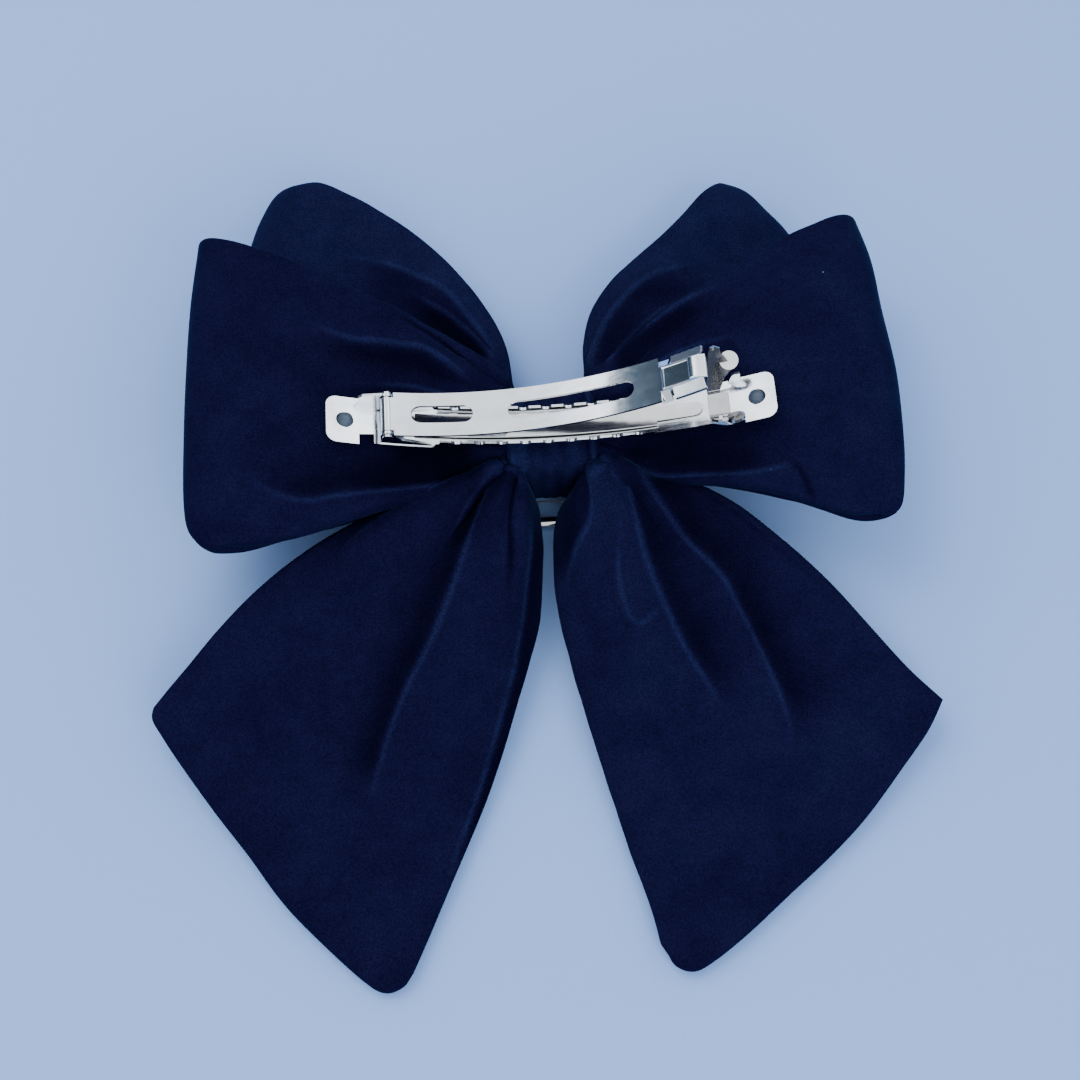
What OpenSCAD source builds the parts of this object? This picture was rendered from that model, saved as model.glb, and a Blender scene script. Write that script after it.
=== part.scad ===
// Velvet hair bow on a curved spring clip, lying on its front. Millimetres, +Z up.
// X runs along the clip, the clip's hinge is at -X and its latch at +X, the tails hang to -Y.

/* [Clip] */
// Length of the curved base strip, end to end
clip_len = 80; // [79:0.5:81]
// Width of the two end plates
plate_w = 9.2; // [8.6:0.1:9.4]
// Radius the base strip is bent to
arch_r = 105; // [104:0.5:106]
// Thickness of the sheet metal
sheet = 0.5; // [0.4:0.05:0.5]
// Distance between the two fixing holes
hole_gap = 73.6; // [73:0.1:74]
// Radius of the fixing holes
hole_r = 1.5; // [1.4:0.05:1.6]
// Radius of the hinge pin
pin_r = 0.6; // [0.5:0.05:0.6]
// Width of the swinging arm
arm_w = 8.6; // [8.2:0.1:8.6]
// Angle the arm stands open at rest, from latched
arm_open = 11.5; // [0:0.5:12]

/* [Bow] */
// Height of the underside of the clip's middle above the ground
seat_z = 20.5; // [20.5:0.1:21]
// Thickness of the two loops that lie on the ground
front_t = 12.4; // [11:0.1:12.4]
// Top of the two loops next to the clip
rear_top = 27.2; // [25:0.1:27.2]
// Width of the knot along the clip
knot_w = 17; // [16:0.2:17]
// Height of the knot across the clip
knot_h = 18; // [17:0.2:18]
// Thickness of the band wrapped round the knot
wrap_t = 1.3; // [1.1:0.1:1.4]
// Width of the bars of the metal ring on the knot's front
ring_bar = 2.2; // [2:0.1:2.4]

/* [Hidden] */
$fn = 72;

// centre of the clip seen from the middle of the whole bow
clip_x = 4;
clip_y = 14.5;
// centre of the base's arc, and the angle of its two ends
arc_z = seat_z + arch_r;
end_a = asin(clip_len / 2 / arch_r);
// walls folded up along the base, and the width between them
wall_h = 1.6;
wall_y = 3;
// the arm: middle radius, arc centre and the angles where it starts and stops
arm_r = 71.4;
arm_cx = -0.5;
arm_cz = 94.2;
arm_a0 = -23.5;
arm_a1 = 16.3;
arm_a2 = 22.9;
knuckle_r = 1.15;
slot_r = 1.7;
// radius of the leaf that lies in the base
leaf_r = 113;
hinge_r = arm_r + knuckle_r - 0.35;
hinge_x = arm_cx + hinge_r * sin(arm_a0);
hinge_z = arm_cz - hinge_r * cos(arm_a0);
// the latch: place of the wings' bend on the base, how far they lean out, the bend's radius
wing_a = 15.5;
wing_y = 2.8;
wing_up = 0.92;
wing_lean = 32;
wing_t = 0.4;
bend_r = 0.3;
// the knot's centre across the clip and its two ends in height
knot_y = 0.5;
knot_z0 = 2.2;
knot_z1 = seat_z - 0.2;
// room left between the knot's ends and the loops
loop_gap = 0.8;

// moves a part from the clip's own centre line to its place on the bow
module place() {
  translate([clip_x, clip_y, 0])
    children();
}

// sweeps a profile drawn as [radius, across] round an axis along Y
module arc_sweep(cx, cz, a0, a1) {
  translate([cx, 0, cz])
    rotate([90, 0, 0])
      rotate([0, 0, a0 - 90])
        rotate_extrude(angle = a1 - a0)
          children();
}

// stands something on the lower face of the base at an angle along its arc
module on_base(a) {
  translate([0, 0, arc_z])
    rotate([0, -a, 0])
      translate([0, 0, -arch_r])
        children();
}

// a slab along Y drawn by its side view [x, z]
module side_cut(y0, y1) {
  translate([0, y1, 0])
    rotate([90, 0, 0])
      linear_extrude(y1 - y0)
        children();
}

module slot2d(x0, x1, r) {
  translate([x0 + r, 0]) circle(r);
  translate([x1 - r, 0]) circle(r);
  translate([x0 + r, -r]) square([x1 - x0 - 2 * r, 2 * r]);
}

module round_end(x_end, s) {
  // end plate with two rounded corners, s is -1 for the hinge end and 1 for the latch end
  r = 1.8;
  w = plate_w / 2;
  translate([s > 0 ? x_end - 5.6 : x_end, -w + r]) square([5.6, plate_w - 2 * r]);
  translate([s > 0 ? x_end - 5.6 : x_end + r, -w]) square([5.6 - r, plate_w]);
  for (y = [-w + r, w - r])
    translate([x_end - s * r, y]) circle(r);
}

module base_outline() {
  difference() {
    union() {
      round_end(-clip_len / 2, -1);
      round_end(clip_len / 2, 1);
      polygon([[-34.5, -2.6], [-31.8, -2.3], [-31.8, -4.2], [-21.6, -4.2], [-21, -3.5],
        [26, -3.5], [28.6, -3.5], [31.2, -4.4], [34.6, -plate_w / 2 + 0.1],
        [34.6, plate_w / 2 - 0.1], [31.2, 4.4], [28.6, 3.5], [26, 3.5],
        [-21, 3.5], [-21.6, 4.2], [-33.8, 4.2], [-34.5, 4.2]]);
    }
    for (s = [-1, 1])
      translate([s * hole_gap / 2, 0]) circle(hole_r);
  }
}

module barrette_base() {
  color("silver") place() {
    // curved floor with its end plates
    intersection() {
      arc_sweep(0, arc_z, -end_a - 1, end_a + 1)
        translate([arch_r - sheet, -plate_w / 2 - 1]) square([sheet, plate_w + 2]);
      translate([0, 0, seat_z - 2]) linear_extrude(14) base_outline();
    }
    // folded walls with a waved edge
    difference() {
      for (s = [-1, 1])
        arc_sweep(0, arc_z, -11.3, 10.2)
          polygon([[arch_r, s * wall_y], [arch_r, s * (wall_y + 0.5)],
            [arch_r - wall_h, s * (wall_y + 0.8)], [arch_r - wall_h, s * (wall_y + 0.3)]]);
      for (i = [0:8])
        on_base(-9.6 + i * 2.3)
          translate([0, 6, wall_h + 0.75]) rotate([90, 0, 0]) cylinder(r = 1.25, h = 12);
    }
    // two ears that carry the hinge pin, the far one with a broad flat top
    for (s = [-1, 1])
      difference() {
        side_cut(s > 0 ? 3.55 : -4.05, s > 0 ? 4.05 : -3.55)
          union() {
            translate([hinge_x, hinge_z]) circle(1.25);
            polygon(concat(
              s > 0 ? [[hinge_x - 5.2, 26.3], [hinge_x - 5, 28.7], [hinge_x - 4.2, 29.3], [hinge_x - 0.7, 29.3]]
                : [[hinge_x - 1.6, 25.1], [hinge_x - 1.25, 26.6], [hinge_x - 1.25, hinge_z]],
              [[hinge_x + 1.25, hinge_z], [hinge_x + 2.4, 26.2], [hinge_x + 7.6, 23.9],
                [hinge_x + 7.6, 23], [hinge_x, 24.6]]));
          }
        translate([hinge_x, 6, hinge_z]) rotate([90, 0, 0]) cylinder(r = pin_r + 0.02, h = 12);
      }
    // two lugs turned up from the latch end's edges
    for (s = [-1, 1])
      side_cut(s > 0 ? 4 : -4.5, s > 0 ? 4.5 : -4)
        polygon([[32.1, 25.5], [34.4, 26.4], s > 0 ? [34, 29.2] : [34.4, 27.3], [33.2, 29], [32.6, 28.5]]);
  }
}

module hinge_pin() {
  color("gray") place()
    translate([hinge_x, 0, hinge_z]) rotate([90, 0, 0]) {
      cylinder(r = pin_r, h = 8.6, center = true);
      for (s = [-1, 1])
        translate([0, 0, s * 4.35]) cylinder(r = 0.95, h = 0.4, center = true);
    }
}

module arm_closed() {
  difference() {
    union() {
      // curved strip
      difference() {
        arc_sweep(arm_cx, arm_cz, arm_a0, arm_a1)
          translate([arm_r - sheet / 2, -arm_w / 2]) square([sheet, arm_w]);
        for (s = [-1, 1])
          translate([-30, s > 0 ? 3.3 : -6.3, 20]) cube([2.1, 3, 12]);
      }
      // rolled knuckle
      translate([hinge_x, 3.3, hinge_z]) rotate([90, 0, 0]) cylinder(r = knuckle_r, h = 6.6);
      // tip pressed into a channel with walls that flare out and down
      arc_sweep(arm_cx, arm_cz, arm_a1 - 0.2, arm_a2)
        polygon([[arm_r + 1, -4.2], [arm_r + 1.3, -3.8], [arm_r + 0.2, -2.1], [arm_r + 0.2, 2.1],
          [arm_r + 1.3, 3.8], [arm_r + 1, 4.2], [arm_r - 0.3, 2.4], [arm_r - 0.3, -2.4]]);
      // end of the tip bent down
      arc_sweep(arm_cx, arm_cz, arm_a2 - 0.4, arm_a2)
        translate([arm_r - 0.2, -2.25]) square([1.3, 4.5]);
    }
    translate([hinge_x, 6, hinge_z]) rotate([90, 0, 0]) cylinder(r = pin_r + 0.06, h = 12);
    // slits that part the channel's shoulders from its walls
    for (s = [-1, 1])
      arc_sweep(arm_cx, arm_cz, arm_a1 + 1.3, arm_a1 + 1.7)
        translate([arm_r - 0.6, s > 0 ? 2.5 : -5.5]) square([3, 3]);
    translate([0, 0, 18]) linear_extrude(14) slot2d(-25.1, -14.4, slot_r);
    translate([0, 0, 18]) linear_extrude(14) slot2d(-8.3, 14.7, slot_r);
  }
}

module barrette_arm() {
  color("gainsboro") place()
    translate([hinge_x, 0, hinge_z])
      rotate([0, -arm_open, 0])
        translate([-hinge_x, 0, -hinge_z])
          arm_closed();
}

module tension_spring() {
  // slim leaf bowed a little off the floor of the base, with a round free end
  color("lightgray") place()
    intersection() {
      arc_sweep(0, seat_z + sheet + 0.45 + leaf_r, -14.5, 16.5)
        translate([leaf_r - 0.35, -2.2]) square([0.35, 4.4]);
      translate([0, 0, seat_z - 2]) linear_extrude(14)
        union() {
          translate([-24.5, -2.2]) square([43.5, 4.4]);
          slot2d(15, 27.2, 1.3);
        }
    }
}

module latch_plate() {
  // floor of the latch, lying on the base between the wings
  color("darkgray") place()
    on_base(17)
      translate([-2.3, -2.1, sheet + 0.1]) cube([3.8, 4.2, 0.4]);
}

module wing() {
  // a leaning sheet that turns about its rolled lower edge: tall catch at one end, finger disc at the other
  on_base(wing_a)
    translate([0, wing_y, wing_up]) {
      translate([0.5, 0, 0]) rotate([0, 90, 0]) cylinder(r = bend_r, h = 2.4);
      rotate([-wing_lean, 0, 0]) {
        translate([0, wing_t / 2, 0]) rotate([90, 0, 0])
          linear_extrude(wing_t)
            polygon([[0.5, 0], [2.9, 0], [4.3, 2.4], [5.8, 3.8], [5.5, 5.6], [4.6, 7.2],
              [4.6, 8.3], [3.6, 8.9], [2.9, 8.7], [2.4, 7.8], [1.1, 3.2]]);
        // catch that turns in over the arm's edge
        translate([3.1, -0.8, 7.1]) cube([0.5, 0.9, 1.4]);
      }
      // finger disc, bent further out than the sheet
      translate([5.7, 3, 4.6])
        rotate([66 - wing_lean, 0, 0])
          translate([0, 0, -0.25]) cylinder(r = 1.7, h = 0.5);
    }
}

module latch_wing_far() {
  color("lightsteelblue") place() wing();
}

module latch_wing_near() {
  color("lightsteelblue") place() mirror([0, 1, 0]) wing();
}

module glue_blob(x) {
  // dome of glue standing in a fixing hole
  place()
    translate([x, 0, seat_z + 6.1]) {
      cylinder(r = hole_r - 0.06, h = 1.2);
      translate([0, 0, 1.2])
        intersection() {
          translate([0, 0, -0.95]) sphere(r = 1.7, $fn = 48);
          cylinder(r = hole_r - 0.06, h = 2);
        }
    }
}

module glue_left() {
  color("slategray") glue_blob(-hole_gap / 2);
}

module glue_right() {
  color("slategray") glue_blob(hole_gap / 2);
}

// rounded rectangle in the plane across the clip, grown by g
module knot_shape(g) {
  w = knot_h / 2 + g;
  z0 = knot_z0 - g;
  z1 = knot_z1 + g;
  r = 4 + g;
  translate([-w, z0 + r]) square([2 * w, z1 - z0 - 2 * r]);
  translate([-w + r, z0]) square([2 * w - 2 * r, z1 - z0]);
  for (y = [-w + r, w - r], z = [z0 + r, z1 - r])
    translate([y, z]) circle(r);
}

// extrudes a shape drawn as [y, z] along X
module along_x(x0, x1) {
  translate([x0, knot_y, 0])
    rotate([90, 0, 90])
      linear_extrude(x1 - x0)
        children();
}

module knot_wrap() {
  color("midnightblue") place()
    along_x(-knot_w / 2, knot_w / 2)
      difference() {
        knot_shape(0);
        knot_shape(-wrap_t);
      }
}

module knot_core() {
  color("navy") place()
    difference() {
      along_x(-knot_w / 2 + 0.2, knot_w / 2 - 0.2) knot_shape(-wrap_t - 0.1);
      difference() {
        along_x(-1.5, 1.5) knot_shape(0);
        along_x(-1.6, 1.6) knot_shape(-wrap_t - 1.1);
      }
    }
}

module gathering_thread() {
  // windings that tie the middle of the bow together, in the core's waist
  color("black") place()
    difference() {
      along_x(-1.3, 1.3) knot_shape(-wrap_t - 0.3);
      along_x(-1.4, 1.4) knot_shape(-wrap_t - 1);
    }
}

module tie_thread() {
  color("black") place()
    translate([-4.2, knot_y - knot_h / 2 - 0.3, 8]) rotate([0, 90, 0]) cylinder(r = 0.2, h = 8.4);
}

module seam_stitches() {
  color("lightblue") place()
    for (i = [0:3])
      translate([knot_w / 2 + 0.28, -3.2 - 1.5 * i, 17.6 - 0.9 * i])
        rotate([40, 0, 0]) cylinder(r = 0.22, h = 1.2, center = true);
}

module front_ring() {
  // slim rectangular ring on the front of the knot
  h = knot_h / 2 + ring_bar + 0.2;
  color("silver") place()
    translate([0, knot_y, 0.4])
      linear_extrude(1.5)
        difference() {
          square([13, 2 * h], center = true);
          square([13 - 2 * ring_bar, 2 * h - 2 * ring_bar], center = true);
        }
}

// cushion between two heights: outline p drawn full in the middle and drawn in at top and bottom
module cushion(p, c, z0, z1, pull) {
  hull() {
    translate([0, 0, z0 + (z1 - z0) * 0.3]) linear_extrude((z1 - z0) * 0.4) polygon(p);
    translate([c[0], c[1], z0]) linear_extrude(z1 - z0) scale(pull) translate(-c) polygon(p);
  }
}

module loop_root(s, y0, y1, z0, z1) {
  translate([s > 0 ? knot_w / 2 + loop_gap : -knot_w / 2 - loop_gap - 1, y0, z0]) cube([1, y1 - y0, z1 - z0]);
}

module front_loop_left() {
  color("midnightblue") place()
    hull() {
      cushion([[-11, 34], [-17, 45], [-24, 53], [-32, 60], [-41, 66], [-46, 67], [-51, 66], [-55, 57],
        [-59, 40], [-61, 10], [-58, -4], [-50, -8], [-40, -8]], [-36, 25], 0, front_t, 0.78);
      loop_root(-1, -4, 14, 3, front_t - 0.1);
      translate([-10.5, 19, 5]) cylinder(r = 1, h = 5, $fn = 12);
    }
}

module front_loop_right() {
  color("midnightblue") place()
    hull() {
      cushion([[11, 31], [15, 39], [22, 46], [30, 54], [35, 60], [39, 62], [44, 60], [48, 54],
        [52, 46], [57, 28], [58, 8], [56, -4], [49, -8], [38, -8]], [34, 23], 0, front_t, 0.78);
      loop_root(1, -4, 14, 3, front_t - 0.1);
      translate([10.5, 19, 5]) cylinder(r = 1, h = 5, $fn = 12);
    }
}

module rear_loop_left() {
  color("darkslateblue") place()
    hull() {
      cushion([[-40, 36], [-48, 41], [-60, 45.4], [-64, 46.3], [-66, 34], [-66.8, 14], [-66.8, 1],
        [-66, -15], [-64, -19.5], [-58, -21.5], [-46, -19.5], [-38, -16.5]], [-53, 13],
        front_t + 0.4, rear_top, 0.7);
      loop_root(-1, -4, 15, front_t + 0.5, 18.6);
    }
}

module rear_loop_right() {
  color("darkslateblue") place()
    hull() {
      cushion([[38, 34], [49, 40], [58, 43], [61, 44], [63, 42], [64, 27], [64.6, 13], [63.6, -5],
        [62, -16], [59, -20], [53, -21.2], [45, -19], [36, -15.5]], [52, 13], front_t + 0.4, rear_top, 0.7);
      loop_root(1, -4, 15, front_t + 0.5, 18.6);
    }
}

// keeps a tail clear of the knot, its stitches and the thread across its foot
module knot_room() {
  translate([-knot_w / 2 - 0.7, knot_y - knot_h / 2 - 0.8, -1])
    cube([knot_w + 1.4, 30, 30]);
}

module tail_left() {
  color("navy") place()
    difference() {
      hull() {
        linear_extrude(4.5)
          polygon([[-74.5, -45], [-71, -52], [-63, -64], [-52, -79], [-42, -90], [-37, -95], [-34, -96],
            [-31, -94], [-22, -78]]);
        translate([0, 0, 2]) linear_extrude(5) polygon([[-72, -41.5], [-60.5, -30], [-11, -54], [-16, -66]]);
        translate([0, 0, 8]) linear_extrude(4.5) polygon([[-44, -18], [-33, -12.5], [-24, -10]]);
        translate([0, 0, 8]) linear_extrude(5.6) polygon([[-34, -18.5], [-24, -12.5], [-4.5, -36], [-3.2, -24]]);
        translate([0, 0, 7]) linear_extrude(11.5)
          polygon([[-10.5, -6.4], [-13, -8.6], [-3.3, -20], [-4, -12], [-5, -9.5]]);
      }
      knot_room();
    }
}

module tail_right() {
  color("navy") place()
    difference() {
      hull() {
        linear_extrude(4.5)
          polygon([[66.5, -51.5], [63, -57], [53, -69], [42, -79.5], [30, -88.7], [20, -95], [17, -96],
            [13.8, -94.5], [10.2, -83]]);
        translate([0, 0, 2]) linear_extrude(5) polygon([[64.5, -48.5], [52.5, -35], [3, -54], [6, -66]]);
        translate([0, 0, 8]) linear_extrude(4.5) polygon([[39, -19], [31, -12.5], [24, -9.5]]);
        translate([0, 0, 8]) linear_extrude(5.6) polygon([[33, -18.5], [24, -12.5], [-0.6, -34], [-1.2, -26]]);
        translate([0, 0, 7]) linear_extrude(11.5)
          polygon([[10.5, -6.4], [13, -8.6], [-0.6, -21], [1.5, -14.5], [5, -9.5]]);
      }
      knot_room();
    }
}

barrette_base();
hinge_pin();
barrette_arm();
tension_spring();
latch_plate();
latch_wing_far();
latch_wing_near();
glue_left();
glue_right();
knot_wrap();
knot_core();
gathering_thread();
tie_thread();
seam_stitches();
front_ring();
front_loop_left();
front_loop_right();
rear_loop_left();
rear_loop_right();
tail_left();
tail_right();
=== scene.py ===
"""Velvet hair bow on a curved spring clip: the looks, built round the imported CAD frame."""
import math

import bmesh
import bpy
import numpy as np
from mathutils import Matrix, Vector, noise


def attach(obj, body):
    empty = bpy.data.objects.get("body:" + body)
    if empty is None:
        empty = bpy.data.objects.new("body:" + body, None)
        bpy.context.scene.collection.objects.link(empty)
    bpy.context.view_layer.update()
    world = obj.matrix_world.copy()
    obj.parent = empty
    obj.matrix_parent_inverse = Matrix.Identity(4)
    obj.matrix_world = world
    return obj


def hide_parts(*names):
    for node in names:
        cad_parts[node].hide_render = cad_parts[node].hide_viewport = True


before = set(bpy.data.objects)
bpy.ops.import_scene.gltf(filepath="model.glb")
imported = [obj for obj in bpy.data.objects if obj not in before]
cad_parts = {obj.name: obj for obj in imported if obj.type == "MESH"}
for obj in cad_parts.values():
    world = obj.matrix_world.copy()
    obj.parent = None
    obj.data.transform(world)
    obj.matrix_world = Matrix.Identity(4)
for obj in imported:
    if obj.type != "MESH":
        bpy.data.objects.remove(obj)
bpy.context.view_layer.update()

MM = 0.001
CLIP = np.array([4.0, 14.5])  # the clip's middle, in mm, seen from above
ROOT = "bow"  # the body that everything sewn or fixed together rides on


# ---------------------------------------------------------------- materials
def nodes_of(name):
    """A new node material, its tree and its shader."""
    m = bpy.data.materials.new(name)
    m.use_nodes = True
    t = m.node_tree
    return m, t, t.nodes["Principled BSDF"]


def tex_noise(t, scale, detail=3.0, rough=0.55, stretch=None):
    """Noise in object space, scale in features per metre."""
    co = t.nodes.new("ShaderNodeTexCoord")
    n = t.nodes.new("ShaderNodeTexNoise")
    n.inputs["Scale"].default_value = scale
    n.inputs["Detail"].default_value = detail
    n.inputs["Roughness"].default_value = rough
    if stretch:
        m = t.nodes.new("ShaderNodeMapping")
        m.inputs["Scale"].default_value = stretch
        t.links.new(co.outputs["Object"], m.inputs["Vector"])
        t.links.new(m.outputs["Vector"], n.inputs["Vector"])
    else:
        t.links.new(co.outputs["Object"], n.inputs["Vector"])
    return n


def ramp(t, src, stops):
    """Colour ramp with its own list of (place, colour) stops."""
    r = t.nodes.new("ShaderNodeValToRGB")
    el = r.color_ramp.elements
    while len(el) < len(stops):
        el.new(0.5)
    for e, (p, c) in zip(el, stops):
        e.position = p
        e.color = (*c, 1)
    t.links.new(src, r.inputs["Fac"])
    return r


def grey(v):
    """A colour with three equal parts."""
    return (v, v, v)


def bump(t, b, height, strength, distance, below=None):
    """Bump on shader b, laid over another bump if one is given."""
    n = t.nodes.new("ShaderNodeBump")
    n.inputs["Strength"].default_value = strength
    n.inputs["Distance"].default_value = distance
    t.links.new(height, n.inputs["Height"])
    if below is not None:
        t.links.new(below.outputs["Normal"], n.inputs["Normal"])
    t.links.new(n.outputs["Normal"], b.inputs["Normal"])
    return n


def multiply(t, a, b):
    """Two colours multiplied."""
    n = t.nodes.new("ShaderNodeMix")
    n.data_type = "RGBA"
    n.blend_type = "MULTIPLY"
    n.inputs["Factor"].default_value = 1.0
    t.links.new(a, n.inputs["A"])
    t.links.new(b, n.inputs["B"])
    return n


def velvet(name, dark, light, sheen):
    """Deep-piled velvet: near-black blue, patches where it lies another way, a painted highlight
    along crests and painted shade in folds, fibre bump and a few specks of lint."""
    patch_scale, grain_scale, lint_scale, fibre_scale, lay_scale = 110, 3000, 95, 2600, 420
    painted_fold_shade, painted_crest_highlight = grey(0.30), (2.0, 2.7, 2.0)
    lint_colour, lint_size = (0.10, 0.16, 0.30, 1), (0.008, 0.017)
    m, t, b = nodes_of(name)
    patch = tex_noise(t, patch_scale, 12, 0.78)
    col = ramp(t, patch.outputs["Fac"], [(0.32, dark), (0.68, light)])
    # Painted light from each vertex: painted shade in folds and a painted highlight along crests,
    # over tone that differs at random.
    tone_and_painted_light = t.nodes.new("ShaderNodeAttribute")
    tone_and_painted_light.attribute_name = "tone_and_painted_light"
    crest = ramp(t, tone_and_painted_light.outputs["Fac"], [(0.0, painted_fold_shade), (0.5, grey(1.0)), (1.0, painted_crest_highlight)])
    wear_and_painted_light = multiply(t, col.outputs["Color"], crest.outputs["Color"])
    fine = tex_noise(t, grain_scale, 2, 0.6)
    grain = ramp(t, fine.outputs["Fac"], [(0.36, grey(0.72)), (0.64, grey(1.30))])
    wear_and_painted_light = multiply(t, wear_and_painted_light.outputs["Result"], grain.outputs["Color"])
    lint = t.nodes.new("ShaderNodeTexVoronoi")
    lint.inputs["Scale"].default_value = lint_scale
    co = t.nodes.new("ShaderNodeTexCoord")
    t.links.new(co.outputs["Object"], lint.inputs["Vector"])
    speck = ramp(t, lint.outputs["Distance"], [(lint_size[0], grey(1)), (lint_size[1], grey(0))])
    mix = t.nodes.new("ShaderNodeMix")
    mix.data_type = "RGBA"
    mix.inputs["B"].default_value = lint_colour
    t.links.new(speck.outputs["Color"], mix.inputs["Factor"])
    t.links.new(wear_and_painted_light.outputs["Result"], mix.inputs["A"])
    t.links.new(mix.outputs["Result"], b.inputs["Base Color"])
    rough = ramp(t, patch.outputs["Fac"], [(0.3, grey(0.95)), (0.7, grey(0.80))])
    t.links.new(rough.outputs["Color"], b.inputs["Roughness"])
    b.inputs["Specular IOR Level"].default_value = 0.0
    b.inputs["Sheen Weight"].default_value = sheen
    b.inputs["Sheen Roughness"].default_value = 0.30
    b.inputs["Sheen Tint"].default_value = (0.16, 0.42, 0.80, 1)
    fibre = tex_noise(t, fibre_scale, 2, 0.5)
    lay = tex_noise(t, lay_scale, 3, 0.6)
    first = bump(t, b, fibre.outputs["Fac"], 0.45, 0.2 * MM)
    bump(t, b, lay.outputs["Fac"], 0.25, 0.4 * MM, below=first)
    return m


def metal(name, tint, rough, brushed=0.0):
    """Bright plating: faint waviness, fine brushing along X, slight stains that dull the gloss."""
    stain_scale, brush_scale, wave_scale = 190, 900, 120
    stained, dulled = 0.86, 0.06
    m, t, b = nodes_of(name)
    stain = tex_noise(t, stain_scale, 5, 0.62)
    lo = tuple(c * stained for c in tint)
    col = ramp(t, stain.outputs["Fac"], [(0.32, lo), (0.60, tint)])
    t.links.new(col.outputs["Color"], b.inputs["Base Color"])
    b.inputs["Metallic"].default_value = 1.0
    fine = tex_noise(t, brush_scale, 3, 0.6, stretch=(0.05, 1, 1))
    gloss = ramp(t, fine.outputs["Fac"], [(0.3, grey(rough)), (0.75, grey(rough + dulled))])
    t.links.new(gloss.outputs["Color"], b.inputs["Roughness"])
    wave = tex_noise(t, wave_scale, 2, 0.5)
    first = bump(t, b, wave.outputs["Fac"], 0.18, 0.6 * MM)
    if brushed:
        bump(t, b, fine.outputs["Fac"], brushed, 0.04 * MM, below=first)
    return m


def thread(name, dark, light):
    """Twisted sewing thread: slanting plies and a little fuzz."""
    ply_scale = 900
    m, t, b = nodes_of(name)
    co = t.nodes.new("ShaderNodeTexCoord")
    plies = t.nodes.new("ShaderNodeTexWave")
    plies.inputs["Scale"].default_value = ply_scale
    plies.inputs["Distortion"].default_value = 2.0
    plies.bands_direction = "DIAGONAL"
    t.links.new(co.outputs["Object"], plies.inputs["Vector"])
    col = ramp(t, plies.outputs["Fac"], [(0.2, dark), (0.8, light)])
    t.links.new(col.outputs["Color"], b.inputs["Base Color"])
    b.inputs["Roughness"].default_value = 0.7
    b.inputs["Sheen Weight"].default_value = 0.4
    bump(t, b, plies.outputs["Fac"], 0.6, 0.1 * MM)
    return m


def set_glue(name):
    """Cloudy, half-clear glue over dark cloth."""
    cloud_scale = 700
    clear, milky = (0.020, 0.034, 0.056), (0.055, 0.080, 0.12)
    m, t, b = nodes_of(name)
    cloud = tex_noise(t, cloud_scale, 3, 0.6)
    col = ramp(t, cloud.outputs["Fac"], [(0.3, clear), (0.75, milky)])
    t.links.new(col.outputs["Color"], b.inputs["Base Color"])
    b.inputs["Roughness"].default_value = 0.5
    b.inputs["Coat Weight"].default_value = 0.15
    bump(t, b, cloud.outputs["Fac"], 0.4, 0.3 * MM)
    return m


VELVET = velvet("navy_velvet", (0.0032, 0.0029, 0.0175), (0.0058, 0.0053, 0.0278), 0.10)
# The same velvet made darker for the core inside the knot: painted shade.
VELVET_CORE_PAINTED_SHADE = velvet("navy_velvet_core_painted_shade", (0.0020, 0.0021, 0.0130), (0.0034, 0.0038, 0.0200),
                     0.05)
PLATED = metal("nickel_plate", (0.85, 0.87, 0.90), 0.10, brushed=0.3)
SPRING = metal("spring_steel", (0.78, 0.78, 0.76), 0.09)
LATCH = metal("latch_steel", (0.46, 0.45, 0.45), 0.10)
POLISHED = metal("polished_bar", (0.50, 0.48, 0.46), 0.08)
GLUE = set_glue("set_glue")
DARK_THREAD = thread("dark_thread", (0.004, 0.006, 0.016), (0.012, 0.018, 0.04))
PALE_THREAD = thread("pale_thread", (0.20, 0.26, 0.38), (0.45, 0.52, 0.66))

BY_NODE = {
    "barrette_base": PLATED, "hinge_pin": PLATED, "barrette_arm": PLATED,
    "tension_spring": SPRING, "latch_plate": LATCH,
    "latch_wing_far": LATCH, "latch_wing_near": LATCH,
    "glue_left": GLUE, "glue_right": GLUE, "front_ring": POLISHED,
    "knot_core": VELVET_CORE_PAINTED_SHADE, "gathering_thread": DARK_THREAD,
    "tie_thread": DARK_THREAD, "seam_stitches": PALE_THREAD,
}
for node_name, material in BY_NODE.items():
    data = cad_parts[node_name].data
    data.materials.clear()
    data.materials.append(material)


# ---------------------------------------------------------------- soft shapes
# Plan points are in mm from the clip's middle, heights in mm above the ground.
SHEET = 1.15  # half the thickness of the padded velvet
GROUND_GAP = 0.05  # lowest that any velvet comes
ARCH_R = 105.0  # the clip's base: radius of its arc
ARCH_Z = 125.5  # and height of the arc's centre


def curve(points, at):
    """Points on a smooth curve through a few given ones, at shares of its length."""
    p = np.array(points, float)
    p = np.vstack([2 * p[0] - p[1], p, 2 * p[-1] - p[-2]])
    out = []
    for a, b, c, d in zip(p, p[1:], p[2:], p[3:]):
        for u in np.linspace(0, 1, 24, endpoint=False):
            out.append(0.5 * (2 * b + (c - a) * u + (2 * a - 5 * b + 4 * c - d) * u**2
                              + (3 * b - a - 3 * c + d) * u**3))
    out = np.array(out + [p[-2]])
    length = np.r_[0, np.cumsum(np.linalg.norm(np.diff(out, axis=0), axis=1))]
    return np.stack([np.interp(np.asarray(at) * length[-1], length, out[:, k]) for k in (0, 1)], 1)


def smooth(a, b, x):
    """0 up to a, 1 from b on, an S between them."""
    k = np.clip((x - a) / (b - a), 0, 1)
    return k * k * (3 - 2 * k)


def squared(x, power):
    """A cosine or sine drawn towards the corners of a box, for a ring with rounded corners."""
    return math.copysign(abs(x) ** power, x)


def pleats(x):
    """Rounded crests with sharp valleys between them, from 0 to 1."""
    return np.abs(np.sin(np.pi * x))


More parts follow.
